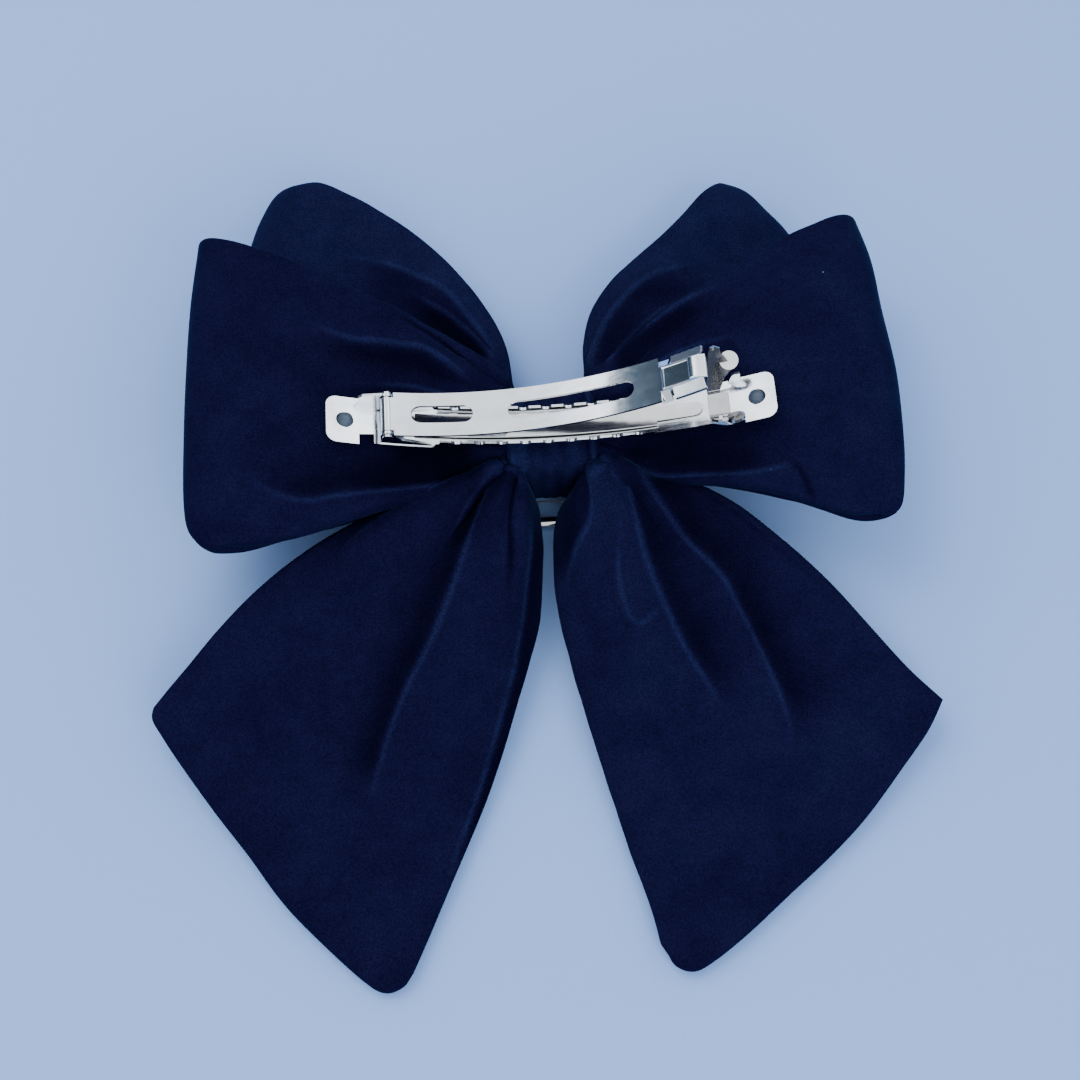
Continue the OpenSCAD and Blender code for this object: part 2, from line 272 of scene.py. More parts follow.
def lumps(plan, scale, seed):
    """Slow, smooth unevenness of a hand-made thing, about -1 to 1."""
    flat = [noise.noise(Vector((x * scale, y * scale, seed))) for x, y in plan.reshape(-1, 2)]
    return np.array(flat).reshape(plan.shape[:-1]) * 1.6


def across_shares(n):
    """Shares of a strip's width, closer together at its two rounded edges."""
    edge = np.array([0, 0.0015, 0.005, 0.011, 0.02])
    return np.r_[edge, np.linspace(0.032, 0.968, n), 1 - edge[::-1]]


def patch(root, lower, upper, outer, t, share):
    """Plan grid bounded by four curves: t runs outwards, share from the lower edge to the upper."""
    lo, up = curve(lower, t), curve(upper, t)
    ro, ou = curve(root, share), curve(outer, share)
    u, v = t[:, None, None], share[None, :, None]
    return ((1 - v) * lo[:, None] + v * up[:, None] + (1 - u) * ro[None] + u * ou[None]
            - (1 - u) * ((1 - v) * lo[0] + v * up[0]) - u * ((1 - v) * lo[-1] + v * up[-1]))


def fold(plan, points, height, steep, gentle, ends=(0.1, 0.35)):
    """A fold along a line: a crest with a drop into a valley on its steeper side.

    height is negative for a crease, steep and gentle are its reach to the line's left and right,
    ends are the shares of its length over which it fades in and out. Gives height and a painted
    shade: a pale line along a crest for a painted highlight, painted shade in its valley and
    creases.
    """
    soften, line_width, dip = 0.3, 0.30, 0.6
    at = np.linspace(0, 1, 90)
    line = curve(points, at)
    way = np.gradient(line, axis=0)
    up = np.zeros(plan.shape[:2])
    shade = np.zeros(plan.shape[:2])
    sharp = min(steep, gentle)
    valley = 2.2 * sharp
    for i, row in enumerate(plan):
        gap = row[:, None] - line
        near = (gap**2).sum(2).argmin(1)
        d = gap[np.arange(len(row)), near]
        w = way[near]
        left = w[:, 0] * d[:, 1] - w[:, 1] * d[:, 0] > 0
        k = at[near]
        life = smooth(-0.001, ends[0], k) * (1 - smooth(1 - ends[1], 1, k))
        beside = np.where((k <= 0) | (k >= 1), 0, 1)
        dist = np.sqrt((d**2).sum(1) + soften**2)
        side = np.where(left, steep, gentle)
        drop = np.where(side == sharp, dist / valley * np.exp(1 - dist / valley), 0)
        if height < 0 or steep == gentle:
            drop = 0 * drop
        up[i] = 0.45 * height * life * (np.exp(-dist / side) - dip * drop)
        # Painted light: a pale line on a crest, a dark one in a crease, and painted shade in the
        # valley.
        line_shade = np.exp(-((dist - soften) / line_width) ** 2) * min(max(height, -1), 1)
        shade[i] = life * beside * (0.9 * line_shade - 0.8 * drop * (height > 0))
    return up, shade


def rim(mid, half, outer_end=False):
    """Half thickness of a strip whose edges are round."""
    def reach(axis):
        """Distance from a strip's two ends or two edges, along its surface."""
        step = np.linalg.norm(np.diff(mid, axis=axis), axis=2)
        zero = np.zeros_like(step.take([0], axis))
        run = np.cumsum(np.concatenate([zero, step], axis), axis)
        return run, run.take([-1], axis) - run
    a, b = reach(1)
    d = np.minimum(a, b)
    if outer_end:
        d = np.minimum(d, reach(0)[1])
    k = 1 - np.clip(d / half, 0, 1)
    return half * np.sqrt(1 - k * k)


def add(name, bm, material):
    """Turns a finished bmesh into a smooth object with one material."""
    bmesh.ops.recalc_face_normals(bm, faces=bm.faces)
    mesh = bpy.data.meshes.new(name)
    bm.to_mesh(mesh)
    bm.free()
    for p in mesh.polygons:
        p.use_smooth = True
    mesh.materials.append(material)
    obj = bpy.data.objects.new(name, mesh)
    bpy.context.scene.collection.objects.link(obj)
    return obj


def quads(bm, grid, turn=1):
    """Faces between the neighbouring rows of a grid; corners that fall together are left out."""
    for a, b in zip(grid, grid[1:]):
        for j in range(len(a) - 1):
            q = list(dict.fromkeys([a[j], b[j], b[j + 1], a[j + 1]]))
            if len(q) > 2:
                bm.faces.new(q[::turn])


def tube(bm, rings, closed=False):
    """Faces round a row of rings, and from the last to the first if it is closed."""
    for a, b in zip(rings, rings[1:] + rings[:1] if closed else rings[1:]):
        for i in range(len(a)):
            n = (i + 1) % len(a)
            bm.faces.new([a[i], a[n], b[n], b[i]])


def strip(name, mid, thick, lift, shade):
    """A closed padded strip round a grid of middle points, lift and shade for its outer face."""
    n, m = mid.shape[:2]
    normal = np.cross(np.gradient(mid, axis=1), np.gradient(mid, axis=0))
    normal /= np.linalg.norm(normal, axis=2, keepdims=True) + 1e-9
    if normal[n // 4, m // 2, 2] < 0:
        normal = -normal
    share = thick / (thick.max() + 1e-9)
    outer = mid + normal * (thick + lift * share)[..., None]
    inner = mid - normal * thick[..., None]
    bm = bmesh.new()
    tone_and_painted_light = bm.verts.layers.float.new("tone_and_painted_light")

    def vertex(p, tone=0.0):
        """A vertex kept above the ground, with its tone and painted light."""
        v = bm.verts.new(((p[0] + CLIP[0]) * MM, (p[1] + CLIP[1]) * MM,
                          max(p[2], GROUND_GAP) * MM))
        v[tone_and_painted_light] = min(max(0.5 + 0.5 * tone, 0), 1)
        return v

    top = [[vertex(outer[i, j], shade[i, j]) for j in range(m)] for i in range(n)]
    low = [[top[i][j] if thick[i, j] < 1e-6 else vertex(inner[i, j]) for j in range(m)]
           for i in range(n)]
    quads(bm, top)
    quads(bm, low, -1)
    for i in (0, n - 1):
        quads(bm, [top[i], low[i]])
    return add(name, bm, VELVET)


def declare(obj, node):
    """A padded velvet piece of the bow that stands for one soft node."""
    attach(obj, ROOT)
    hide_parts(node)


def loop(name, node, root, lower, upper, outer, z_root, z_out, droop, folds, gathers, seed,
         painted_light=0.0):
    """A real loop: a padded strip that runs out from the knot, turns over and runs back.

    z_root and z_out are the heights of its upper and lower layer at the knot and further out,
    droop is how far the upper layer's lower and upper edges hang, gathers are the number,
    place and height of the pleats by the knot; the last argument paints light, making the velvet
    paler.
    """
    turn = 0.88  # share of the length where it turns over
    gather_reach = 0.24
    plate_half_x, plate_half_y, blend, clear = 41, 5.0, 2.5, 0.35  # the plate and the gap under it
    run = np.linspace(0, turn, 120, endpoint=False)
    angle = np.linspace(0, math.pi / 2, 14)
    t = np.r_[run, turn + (1 - turn) * np.sin(angle)]
    swell = np.r_[np.ones(len(run)), np.cos(angle)]
    share = across_shares(118)
    s = 2 * share - 1
    plan = patch(root, lower, upper, outer, t, share)
    T, S = np.meshgrid(t, s, indexing="ij")
    gather = np.exp(-T / gather_reach)
    rise = smooth(0, 0.62, T)
    high = z_root[0] + (z_out[0] - z_root[0]) * rise
    high -= (droop[0] * smooth(0.35, 1.0, -S) + droop[1] * smooth(0.5, 1.0, S)) * smooth(0, 0.25, T)
    deep = z_root[1] + (z_out[1] - z_root[1]) * rise
    wave = pleats(S * gathers[0] + gathers[1] + 0.25 * np.sin(5 * T + seed))
    deep += 0.55 * droop[0] * smooth(0.3, 1.0, -S) * smooth(0.55, 1.0, T)
    high += gather * (wave - 0.65) * gathers[2]
    deep += gather * (pleats(S * gathers[0] + gathers[1] + 0.5) - 0.5) * 0.8
    high += 0.9 * lumps(plan, 0.05, seed) * smooth(0, 0.3, T)
    middle = (high + deep) / 2
    top_z = middle + (high - middle) * swell[:, None]
    low_z = middle + (deep - middle) * swell[:, None]
    centre = plan.mean(axis=1, keepdims=True)
    narrow = 0.10 * smooth(1.0, 0.7, T) * smooth(0, 0.2, T)
    low_plan = centre + (plan - centre) * (1 - narrow[..., None])
    upper_layer = np.dstack([plan, top_z])
    lower_layer = np.dstack([low_plan, low_z])[-2::-1]
    mid = np.concatenate([upper_layer, lower_layer])
    detail = 0.3 * lumps(plan, 0.17, seed + 9)
    # Tone that differs at random, painted light from the last argument, painted shade in the
    # pleats' valleys by the knot, and each fold's painted highlight and shade.
    tone = painted_light + 0.10 * lumps(plan, 0.08, seed + 4) - 0.4 * gather * (1 - wave)
    for f in folds:
        up, dark = fold(plan, *f)
        detail += up
        tone += dark
    detail *= (1 - smooth(0.93, 1.0, T))
    x, y = plan[..., 0], plan[..., 1]
    on_clip = np.clip(1 - np.maximum(np.abs(y) - plate_half_y, 0) / blend, 0, 1)
    clip_z = ARCH_Z - np.sqrt(ARCH_R**2 - np.clip(x, -plate_half_x, plate_half_x)**2)
    room = clip_z - clear - top_z - SHEET
    most = room * on_clip + 9 * (1 - on_clip)
    detail = np.where(np.abs(x) < plate_half_x + 2, np.minimum(detail, most), detail)
    lift = np.zeros(mid.shape[:2])
    lift[:len(t)] = detail
    shade = np.zeros(mid.shape[:2])
    shade[:len(t)] = tone
    declare(strip(name, mid, rim(mid, SHEET), lift, shade), node)


def tail(name, node, root, lower, upper, outer, waves, folds, seed, painted_light=0.0):
    """A padded strip that comes down from the knot and spreads, its end cut on the slant.

    waves are soft ridges: place across at the knot and at the end, where they end, height, width.
    """
    crown_z, crown_drop = 16.4, 14.2  # height of its middle at the knot, and how far it comes down
    inner_z, inner_drop = 8.4, 6.6  # the same for its inner edge
    t = np.r_[np.linspace(0, 0.985, 190), 1 - np.array([0.011, 0.007, 0.0035, 0.001, 0])]
    share = across_shares(118)
    plan = patch(root, lower, upper, outer, t, share)
    T, S = np.meshgrid(t, 2 * share - 1, indexing="ij")
    away = np.maximum(-6 - plan[..., 1], 0)
    crown = crown_z - crown_drop * smooth(0, 78, away) ** 0.8
    inner = inner_z - inner_drop * smooth(0, 74, away)
    arch = 1 - (1 - np.clip((S + 1) / 0.9, 0, 1)) ** 2.2
    z = inner + (crown - inner) * arch
    z += 0.7 * lumps(plan, 0.045, seed) * smooth(0.1, 0.5, T) * (1 - 0.5 * smooth(0.8, 1, T))
    for centre0, centre1, end, height, width in waves:
        line = centre0 + (centre1 - centre0) * T
        life = 1 - smooth(end * 0.3, end, T)
        z += height * life * np.exp(-(((S - line) / (width * (0.6 + 0.8 * T))) ** 2))
    z -= 0.9 * smooth(0.6, 1.0, S) * (1 - smooth(0.3, 0.9, T))
    z = np.maximum(z, SHEET + 0.15)
    mid = np.dstack([plan, z])
    detail = 0.2 * lumps(plan, 0.17, seed + 5)
    # Tone that differs at random, painted light from the last argument, painted light near the knot
    # against the shade it lies in there, and each fold's painted highlight and shade.
    tone = painted_light + 0.10 * lumps(plan, 0.08, seed + 4) + 0.25 * (1 - smooth(0.05, 0.3, T))
    for f in folds:
        up, dark = fold(plan, *f)
        detail += up
        tone += dark
    detail *= (1 - smooth(0.93, 1.0, T))
    declare(strip(name, mid, rim(mid, SHEET, outer_end=True), detail, tone), node)


loop("rear_loop_left_velvet", "rear_loop_left",
     root=[(-7.2, -4.2), (-7.4, 5), (-7.2, 12.5)],
     lower=[(-7.2, -4.2), (-14, -7.6), (-21, -10.5), (-30, -13.3), (-36, -15.8), (-46, -18.9),
            (-54, -20), (-60.4, -19.6)],
     upper=[(-7.2, 12.5), (-12.2, 17.4), (-17.6, 21), (-25, 24.8), (-36, 30.2), (-47, 36.4),
            (-53.5, 39.5), (-59, 42), (-63.6, 44.6)],
     outer=[(-60.4, -19.6), (-63.5, -17.4), (-65.3, -13), (-65.6, 0), (-65.4, 14.4), (-64.8, 31),
            (-63.6, 44.6)],
     z_root=(16.9, 14.2), z_out=(25.2, 14.2), droop=(5.2, 0.8),
     folds=[([(-13, 10.5), (-21.6, 16.6), (-28.4, 17.4), (-36.5, 18.2), (-45, 23)], 1.5, 1.0, 5.0,
             (0.25, 0.4)),
            ([(-11, -4.5), (-22.2, -8), (-29.3, -9.8), (-38.7, -11.5), (-45.1, -12.4),
              (-50.4, -10.9), (-56.5, -7)], 1.5, 7.0, 1.1, (0.1, 0.35)),
            ([(-12, 6), (-24, 9), (-37, 9)], 1.1, 2.5, 4.0, (0.2, 0.5)),
            ([(-10, 12), (-20, 20), (-31, 25.5)], -1.0, 1.4, 1.4, (0.1, 0.4))],
     gathers=(2.6, 0.2, 1.2), seed=3.1)
loop("rear_loop_right_velvet", "rear_loop_right",
     root=[(7.2, -4.2), (7.4, 5), (7.2, 12.5)],
     lower=[(7.2, -4.2), (14, -7.6), (20, -9.8), (27, -11.9), (36, -14.5), (42, -17), (47, -19.1),
            (53, -20.7), (57.8, -20.1)],
     upper=[(7.2, 12.5), (12.1, 15.4), (17.4, 19.2), (22.4, 22.8), (30.3, 26.9), (40, 32),
            (47, 35.9), (54, 38.8), (60.3, 42)],
     outer=[(57.8, -20.1), (60.8, -18.2), (62.1, -12), (62.8, -4), (63.2, 8), (62.4, 21.4),
            (61.9, 32), (60.3, 42)],
     z_root=(16.9, 14.2), z_out=(25.2, 14.2), droop=(5.2, 0.8),
     folds=[([(10.6, 12.2), (15.5, 18), (24, 22.5), (35, 26.5)], 1.5, 5.0, 1.0, (0.15, 0.4)),
            ([(10, -4), (19.5, -8.4), (25.8, -9.9), (35.9, -11.4), (46, -10.4)], 1.5, 1.1, 7.0,
             (0.15, 0.35)),
            ([(41, -9.8), (43.8, -12), (45.2, -16), (45.6, -19)], -0.8, 1.2, 1.8, (0.3, 0.3)),
            ([(12, 8), (24, 13), (38, 15)], 1.0, 4.0, 2.5, (0.2, 0.5))],
     gathers=(2.4, 0.35, 1.2), seed=7.7, painted_light=0.1)
loop("front_loop_left_velvet", "front_loop_left",
     root=[(-7.4, -3.6), (-7.2, 6), (-6.4, 13)],
     lower=[(-7.4, -3.6), (-25, -5.2), (-40, -6.4), (-52, -7), (-58, -4)],
     upper=[(-6.4, 13), (-6.3, 18), (-7.2, 25.2), (-10.4, 33.2), (-16.6, 42.8), (-23.1, 50.2),
            (-30.8, 56.6), (-38.6, 61.8), (-45.4, 64.8)],
     outer=[(-58, -4), (-60, 8), (-60, 24), (-58.5, 38), (-55.6, 52), (-53.2, 59), (-50.4, 63.4),
            (-45.4, 64.8)],
     z_root=(8.4, 3.6), z_out=(11.0, 1.3), droop=(2.0, 0.6),
     folds=[([(-9.5, 21), (-16, 29.3), (-21.5, 34), (-27, 38)], 1.4, 1.0, 3.0, (0.1, 0.4)),
            ([(-8.5, 22), (-11.1, 26), (-18.3, 36.5), (-23.4, 40), (-31.1, 43.6), (-40, 45)], 1.5,
             1.4, 4.0, (0.1, 0.4))],
     gathers=(2.4, 0.1, 1.0), seed=12.3, painted_light=0.4)
loop("front_loop_right_velvet", "front_loop_right",
     root=[(7.4, -3.6), (7.5, 6), (7.4, 13)],
     lower=[(7.4, -3.6), (24, -5.2), (38, -6), (49, -7), (56, -4)],
     upper=[(7.4, 13), (7.6, 18), (7.8, 23.9), (9.8, 30.6), (14.1, 36.9), (20.6, 43.4),
            (28.1, 50.7), (33.4, 56.4), (38, 60.6)],
     outer=[(56, -4), (58, 8), (57.2, 20), (54.6, 36), (50.3, 47), (46.6, 53), (43, 58),
            (38, 60.6)],
     z_root=(8.4, 3.6), z_out=(11.0, 1.3), droop=(2.0, 0.6),
     folds=[([(9, 17), (10.4, 22), (13.6, 28.4), (19.1, 34.4), (24.3, 37.6), (34, 40)], 1.6, 3.6,
             1.2, (0.1, 0.4)),
            ([(10, 15), (15, 22), (24, 29), (34, 33)], 1.0, 2.5, 1.2, (0.1, 0.4))],
     gathers=(2.2, 0.4, 1.0), seed=21.9, painted_light=0.5)

tail("tail_left_velvet", "tail_left",
     root=[(-5.6, -8.0), (-7.4, -6.4), (-8.4, -5.0), (-9.6, -4.4)],
     lower=[(-5.8, -8.0), (-4.8, -9.6), (-3.9, -12.6), (-3.5, -17), (-3.5, -21), (-3.8, -26),
            (-5.1, -34.5), (-8, -43.3), (-11, -52), (-14.2, -60.5), (-18, -69), (-22, -77.5),
            (-26, -86), (-29.4, -93)],
     upper=[(-9.6, -4.4), (-20, -7.7), (-28, -10.4), (-36, -13.9), (-44, -18.1), (-50, -22),
            (-56, -26.8), (-62, -32.6), (-67.6, -38.8), (-70.7, -42.2), (-73.2, -45)],
     outer=[(-29.4, -93), (-31.2, -95.2), (-34.5, -96), (-38.6, -93.2), (-46.8, -85),
            (-51.8, -79.2), (-57, -71.6), (-63, -63.4), (-69, -54.6), (-72, -49.8), (-73.5, -47),
            (-73.2, -45)],
     waves=[(-0.55, -0.7, 0.9, 1.0, 0.24), (0.0, -0.2, 0.9, 1.1, 0.20),
            (0.62, 0.66, 0.8, 1.0, 0.20), (0.30, 0.20, 0.6, -0.8, 0.12)],
     folds=[([(-8.4, -5.4), (-11.2, -9.6), (-15.2, -18.2), (-19.9, -28.2), (-24.3, -37),
              (-28.6, -44.6), (-32.3, -53), (-36.5, -65)], 1.7, 5.0, 0.9, (0.02, 0.18)),
            ([(-9.4, -5.4), (-13.2, -8.6), (-17.6, -14.6), (-21.5, -21.5)], 1.5, 1.0, 3.0,
             (0.02, 0.5)),
            ([(-7.2, -6.6), (-8.4, -13.1), (-8.9, -21.7), (-10.5, -30.8)], -1.3, 0.9, 1.2,
             (0.1, 0.4)),
            ([(-5.4, -12), (-6.2, -21), (-7.6, -31), (-10, -42), (-13.6, -53), (-17.2, -63),
              (-21.2, -73), (-23.2, -79)], 1.0, 0.7, 4.0, (0.1, 0.2)),
            ([(-10.2, -5), (-24.5, -10.6), (-33.6, -15.4), (-42, -21.5)], 1.4, 3.5, 1.0,
             (0.02, 0.4))],
     seed=31.0)
tail("tail_right_velvet", "tail_right",
     root=[(5.2, -7.6), (7, -6.2), (8.4, -5.2), (9.6, -4.6)],
     lower=[(5.4, -7.6), (3.8, -9.2), (1.9, -11.2), (0.5, -14.5), (-0.2, -19), (-0.4, -25),
            (0.0, -31.8), (1.3, -39.6), (2.9, -47.1), (4.9, -56), (7, -64.4), (9.4, -74),
            (11.4, -82), (13.2, -90)],
     upper=[(9.6, -4.6), (17, -6.9), (24, -9.3), (33, -14.6), (41, -22), (48, -29.8), (55, -39),
            (60.5, -45.8), (66.4, -51.8)],
     outer=[(13.2, -90), (14.6, -94.2), (17.8, -95.8), (21.4, -94.4), (27.8, -90.1), (36, -83.6),
            (43.2, -77.9), (50.5, -71.4), (57.9, -63.2), (63.2, -57), (66.4, -51.8)],
     waves=[(-0.55, -0.68, 0.9, 1.0, 0.24), (0.0, 0.02, 0.9, 1.1, 0.20),
            (0.6, 0.68, 0.8, 1.0, 0.20), (0.32, 0.36, 0.6, -0.8, 0.10)],
     folds=[([(11, -5.6), (16.4, -10.2), (23, -20.6), (29, -28), (32, -35), (35, -42.5),
              (37.6, -50), (39, -58)], 1.7, 1.0, 5.0, (0.02, 0.18)),
            ([(8.4, -5.2), (11.8, -9.2), (14.2, -19.8), (17.4, -30.2), (21.1, -39.6), (24.4, -46),
              (27.4, -52)], 1.6, 1.0, 5.0, (0.02, 0.18)),
            ([(11.6, -18.5), (10.8, -23), (10.6, -29.3), (12.1, -34.6), (14.8, -35.3),
              (17.4, -32.4)], 0.65, 1.3, 1.3, (0.3, 0.15)),
            ([(7.8, -6.5), (6.4, -15), (3.6, -22), (1, -28.5)], 1.5, 3.0, 0.9, (0.05, 0.4)),
            ([(12.5, -5.4), (26, -12), (37, -21), (48, -33)], -0.45, 2.8, 2.8, (0.1, 0.6))],
     seed=41.0, painted_light=0.1)


def knot():
    """The band wrapped round the middle, faintly gathered, its lower edge slightly ragged."""
    around, along = 220, 90
    y_mid, y_half = 0.6, 8.9
    z_mid, z_half = 11.25, 9.0
    half_w = 8.4
    corner = 2 / 4.2
    bm = bmesh.new()
    tone_and_painted_light = bm.verts.layers.float.new("tone_and_painted_light")
    rings = []
    for x in np.linspace(-1, 1, along):
        ring = []
        for a in np.linspace(0, 2 * math.pi, around, endpoint=False):
            ca, sa = math.cos(a), math.sin(a)
            y, z = squared(ca, corner), squared(sa, corner)
            sway = 2.5 * math.sin(2.3 * x + 1) + 0.7 * math.sin(2 * a + 1) + 0.5 * math.sin(5 * a)
            crest = 0.5 + 0.5 * math.sin(x * 14 + sway)
            wear_and_painted_light = noise.noise(Vector((x * 5 + 3, 2.5 * ca, 2.5 * sa)))
            k = 1 - 0.007 * (1 - crest) - 0.10 * smooth(0.86, 1.0, abs(x)) ** 2 - 0.008 * (1 + wear_and_painted_light)
            if y < 0:
                k -= 0.10 * smooth(0.0, 0.5, -y) - 0.008 * math.sin(x * 23 + math.sin(x * 9))
            px = half_w * x * (1 + 0.015 * math.sin(3 * a + 2 * x))
            v = bm.verts.new(((CLIP[0] + px) * MM, (CLIP[1] + y_mid + y_half * y * k) * MM,
                              (z_mid + z_half * z * min(1.0, k * 1.02)) * MM))
            # The whole knot painted paler (painted light), a painted highlight along the seam with
            # painted shade beside it, a painted highlight on the gathers' crests, paler towards its
            # left end, random tone.
            seam = 0.9 * math.exp(-((x - 0.86) / 0.045) ** 2)
            seam -= 0.5 * math.exp(-((x - 0.77) / 0.05) ** 2)
            paler_left = 0.9 * smooth(0.3, 0.9, -x) * (0.6 + wear_and_painted_light)
            tone = 0.70 + 0.5 * (seam + paler_left + 0.35 * (crest - 0.8) + 0.3 * wear_and_painted_light)
            v[tone_and_painted_light] = min(max(tone, 0), 1)
            ring.append(v)
        rings.append(ring)
    tube(bm, rings)
    obj = add("knot_velvet", bm, VELVET)
    thick = obj.modifiers.new("thick", "SOLIDIFY")
    thick.thickness = 1.0 * MM
    thick.offset = -1
    declare(obj, "knot_wrap")


def polished_ring():
    """Slim rounded bar bent into a rectangle, on the front of the knot."""
    half_x, half_y, bend = 5.4, 10.3, 1.6
    bar_w, bar_h, y_mid, z_mid = 1.1, 0.74, 0.5, 1.15
    corners = [(1, 1, 0), (-1, 1, 90), (-1, -1, 180), (1, -1, 270)]
    bm = bmesh.new()
    rings = []
    for sx, sy, start in corners:
        for turn in np.radians(start + np.linspace(0, 90, 9)):
            nx, ny = math.cos(turn), math.sin(turn)
            x = CLIP[0] + sx * (half_x - bend) + bend * nx
            y = CLIP[1] + y_mid + sy * (half_y - bend) + bend * ny
            ring = []
            for a in np.linspace(0, 2 * math.pi, 28, endpoint=False):
                out = bar_w * squared(math.cos(a), 0.8)
                up = bar_h * squared(math.sin(a), 0.8)
                ring.append(bm.verts.new(((x + nx * out) * MM, (y + ny * out) * MM,
                                          (z_mid + up) * MM)))
            rings.append(ring)
    tube(bm, rings, closed=True)
    obj = add("polished_ring", bm, POLISHED)
    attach(obj, ROOT)
    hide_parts("front_ring")


CORE_Y, CORE_Z = 0.8, 11.2  # middle of what the knot holds


def gathered_core():
    """The ribbons' gathered middle inside the knot, drawn in to a waist by its thread."""
    around, along = 96, 40
    half_x, half_y, half_z, corner = 7.7, 6.4, 6.9, 0.6
    bm = bmesh.new()
    tone_and_painted_light = bm.verts.layers.float.new("tone_and_painted_light")
    rings = []
    for x in np.linspace(-1, 1, along):
        ring = []
        for a in np.linspace(0, 2 * math.pi, around, endpoint=False):
            k = 1 - 0.22 * math.exp(-(x / 0.22) ** 2) - 0.10 * smooth(0.8, 1.0, abs(x))
            k -= 0.05 * (1 - pleats(7 * a / math.pi + 0.3 * math.sin(3 * x)))
            y = half_y * squared(math.cos(a), corner) * k
            z = half_z * squared(math.sin(a), corner) * k
            v = bm.verts.new(((CLIP[0] + half_x * x) * MM, (CLIP[1] + CORE_Y + y) * MM,
                              (CORE_Z + z) * MM))
            v[tone_and_painted_light] = 0.5
            ring.append(v)
        rings.append(ring)
    tube(bm, rings)
    bm.faces.new(rings[0])
    bm.faces.new(rings[-1])
    declare(add("gathered_core", bm, VELVET_CORE_PAINTED_SHADE), "knot_core")


def gathering_turns():
    """Four turns of thread round the core's waist."""
    turns, half_y, half_z, corner = 4, 5.25, 5.65, 0.6
    wire = bpy.data.curves.new("gathering_turns", "CURVE")
    wire.dimensions = "3D"
    wire.bevel_depth = 0.28 * MM
    wire.bevel_resolution = 3
    wire.use_fill_caps = True
    spline = wire.splines.new("POLY")
    angles = np.linspace(0, 2 * math.pi * turns, 64 * turns)
    spline.points.add(len(angles) - 1)
    for point, a in zip(spline.points, angles):
        x = -1.0 + 2.0 * a / angles[-1]
        y = half_y * squared(math.cos(a), corner)
        z = half_z * squared(math.sin(a), corner)
        point.co = ((CLIP[0] + x) * MM, (CLIP[1] + CORE_Y + y) * MM, (CORE_Z + z) * MM, 1)
    wire.materials.append(DARK_THREAD)
    obj = bpy.data.objects.new("gathering_turns", wire)
    bpy.context.scene.collection.objects.link(obj)
    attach(obj, ROOT)
    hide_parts("gathering_thread")


def tip_panel():
    """The arm's tip: a tray with a raised rim, a block whose end rolls over, and folded sides."""
    arc_r, arc_x, arc_z = 71.1, -0.5, 94.2  # the tip's upper face, as the arm lies when latched
    pin_x, pin_z, opened = -29.29, 27.99, math.radians(11.5)
    first, span = 16.6, 6.8  # degrees along the arc
    half_w = 2.3
    side_from, side_width, side_drop, side_thick = 1.03, 0.79, 0.62, 0.68
    rise, block_rise = 0.10, 0.68
    bm = bmesh.new()

    def at(u, v, h):
        """Along the tip, across it in half widths, and the height over its face."""
        a = math.radians(first + span * u)
        dx = arc_x + (arc_r - h) * math.sin(a) - pin_x
        dz = arc_z - (arc_r - h) * math.cos(a) - pin_z
        x = pin_x + dx * math.cos(opened) - dz * math.sin(opened)
        z = pin_z + dx * math.sin(opened) + dz * math.cos(opened)
        return bm.verts.new(((CLIP[0] + x) * MM, (CLIP[1] + half_w * v) * MM, z * MM))

    def shell(top, low):
        """Two grids joined round their edges."""
        quads(bm, top)
        quads(bm, low)
        for k in (0, -1):
            quads(bm, [top[k], low[k]])
            quads(bm, [[g[k] for g in top], [g[k] for g in low]])

    # the folded sides, past the slits that part them from the shoulders
    rows = np.r_[0.23, 0.233, 0.24, np.linspace(0.25, 0.91, 12), 0.92, 0.927, 0.93]
    cols = np.r_[0, 0.01, 0.04, np.linspace(0.1, 0.9, 7), 0.96, 0.99, 1]
    for side in (-1, 1):
        places = [(side * (side_from + side_width * w), w) for w in cols]
        skin = [[at(u, v, 0.04 - side_drop * w) for v, w in places] for u in rows]
        back = [[at(u, v, -0.1 - (side_drop + side_thick) * w) for v, w in places] for u in rows]
        shell(skin, back)

    # the tray and the block
    rows = np.r_[np.linspace(0, 0.6, 22), np.linspace(0.615, 0.69, 14), np.linspace(0.70, 1, 20)]
    cols = np.r_[-1, -0.985, -0.95, np.linspace(-0.9, 0.9, 25), 0.95, 0.985, 1]
    out = np.abs(cols)
    rounded = np.sqrt(1 - np.clip((out - 0.9) / 0.1, 0, 1) ** 2)
    top, low = [], []
    for u in rows:
        lip = rise * math.exp(-((u - 0.02) / 0.012) ** 2)
        tray = rise + rise * smooth(0.86, 0.91, out) + lip
        block = block_rise - block_rise * (max(u - 0.67, 0) / 0.27) ** 2
        h = tray + (block - tray) * smooth(0.62, 0.66, u)
        base = np.minimum(-0.1, h - 0.3)
        h = base + (h - base) * rounded
        top.append([at(u, v, k) for v, k in zip(cols, h)])
        low.append([t if r == 0 else at(u, v, k)
                    for t, r, v, k in zip(top[-1], rounded, cols, base)])
    shell(top, low)
    obj = add("tip_panel", bm, PLATED)
    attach(obj, "arm")


knot()
gathered_core()
tip_panel()
gathering_turns()
polished_ring()


# ---------------------------------------------------------------- stage, lights, camera
def area_light(name, loc, size, power, colour):
    """A soft light aimed at the bow; bright metal doesn't mirror it."""
    d = bpy.data.lights.new(name, "AREA")
    d.shape = "RECTANGLE"
    d.size, d.size_y = size
    d.energy = power
    d.color = colour
    o = bpy.data.objects.new(name, d)
    bpy.context.scene.collection.objects.link(o)
    o.location = loc
    o.visible_glossy = False
    o.rotation_euler = (-Vector(loc)).to_track_quat("-Z", "Y").to_euler()


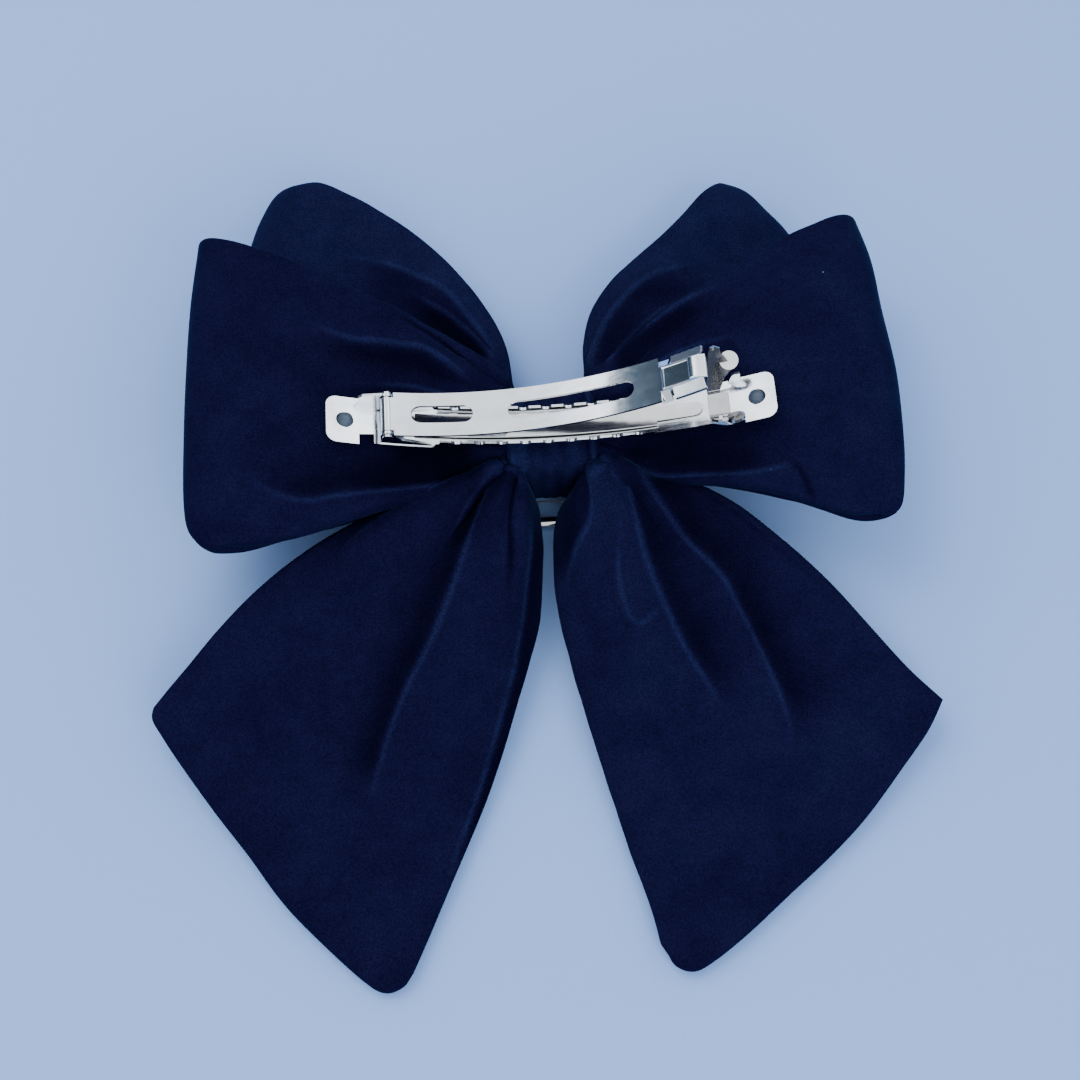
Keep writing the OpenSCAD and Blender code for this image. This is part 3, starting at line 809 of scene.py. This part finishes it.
bm = bmesh.new()
bmesh.ops.create_grid(bm, x_segments=8, y_segments=8, size=1.6)
mesh = bpy.data.meshes.new("floor")
bm.to_mesh(mesh)
bm.free()
floor = bpy.data.objects.new("floor", mesh)
bpy.context.scene.collection.objects.link(floor)
pale, _, shader = nodes_of("pale_floor")
shader.inputs["Base Color"].default_value = (0.28, 0.45, 0.86, 1)
shader.inputs["Roughness"].default_value = 0.9
mesh.materials.append(pale)

# The studio is pale all round; bright metal also sees its brighter ceiling and one dark flag.
world = bpy.data.worlds.new("studio")
world.use_nodes = True
wt = world.node_tree
plain = wt.nodes["Background"]
plain.inputs["Color"].default_value = (0.80, 0.88, 1.0, 1)
plain.inputs["Strength"].default_value = 1.10
seen = wt.nodes.new("ShaderNodeTexCoord")
split = wt.nodes.new("ShaderNodeSeparateXYZ")
wt.links.new(seen.outputs["Generated"], split.inputs["Vector"])
FROM_BELOW_UP = [(0.0, (0.07, 0.09, 0.13)), (0.30, (0.26, 0.31, 0.40)), (0.58, (1.2, 1.3, 1.42)),
                 (0.73, (3.3, 3.5, 3.75)), (0.84, (1.5, 1.58, 1.7)), (1.0, (2.0, 2.1, 2.2))]
FLAG_WAY = (-0.72, 0.49, 0.49)
FLAG = [(0.942, (1, 1, 1)), (0.966, (0.05, 0.075, 0.10))]
height = ramp(wt, split.outputs["Z"], FROM_BELOW_UP)
toward = wt.nodes.new("ShaderNodeVectorMath")
toward.operation = "DOT_PRODUCT"
toward.inputs[1].default_value = FLAG_WAY
wt.links.new(seen.outputs["Generated"], toward.inputs[0])
flag = ramp(wt, toward.outputs["Value"], FLAG)
both = multiply(wt, height.outputs["Color"], flag.outputs["Color"])
mirror = wt.nodes.new("ShaderNodeBackground")
mirror.inputs["Strength"].default_value = 0.95
wt.links.new(both.outputs["Result"], mirror.inputs["Color"])
path = wt.nodes.new("ShaderNodeLightPath")
pick = wt.nodes.new("ShaderNodeMixShader")
wt.links.new(path.outputs["Is Glossy Ray"], pick.inputs["Fac"])
wt.links.new(plain.outputs["Background"], pick.inputs[1])
wt.links.new(mirror.outputs["Background"], pick.inputs[2])
wt.links.new(pick.outputs["Shader"], wt.nodes["World Output"].inputs["Surface"])
bpy.context.scene.world = world

area_light("key", (-0.35, 0.30, 0.75), (0.6, 0.6), 4.0, (1.0, 0.98, 0.95))
area_light("fill", (0.25, -0.70, 0.55), (0.7, 0.5), 5.0, (0.90, 0.95, 1.0))

TILT = math.radians(25.0)
YAW = math.radians(3.652)
DIST = 340 * MM
AIM = (-2.04, -13.05)  # from the clip's middle to the frame's, along and across the view
cam_data = bpy.data.cameras.new("camera")
cam_data.sensor_width = 36.0
cam_data.lens = 59.93
cam = bpy.data.objects.new("camera", cam_data)
bpy.context.scene.collection.objects.link(cam)
turn = Matrix.Rotation(-YAW, 3, "Z")
aim = turn @ Vector((AIM[0] * MM, AIM[1] * MM, 0)) + Vector((CLIP[0] * MM, CLIP[1] * MM, 0))
back = turn @ Vector((0, -math.sin(TILT), math.cos(TILT)))
up = turn @ Vector((0, math.cos(TILT), math.sin(TILT)))
right = up.cross(back)
facing = Matrix((right, up, back)).transposed().to_4x4()
cam.matrix_world = Matrix.Translation(aim + back * DIST) @ facing
bpy.context.scene.camera = cam
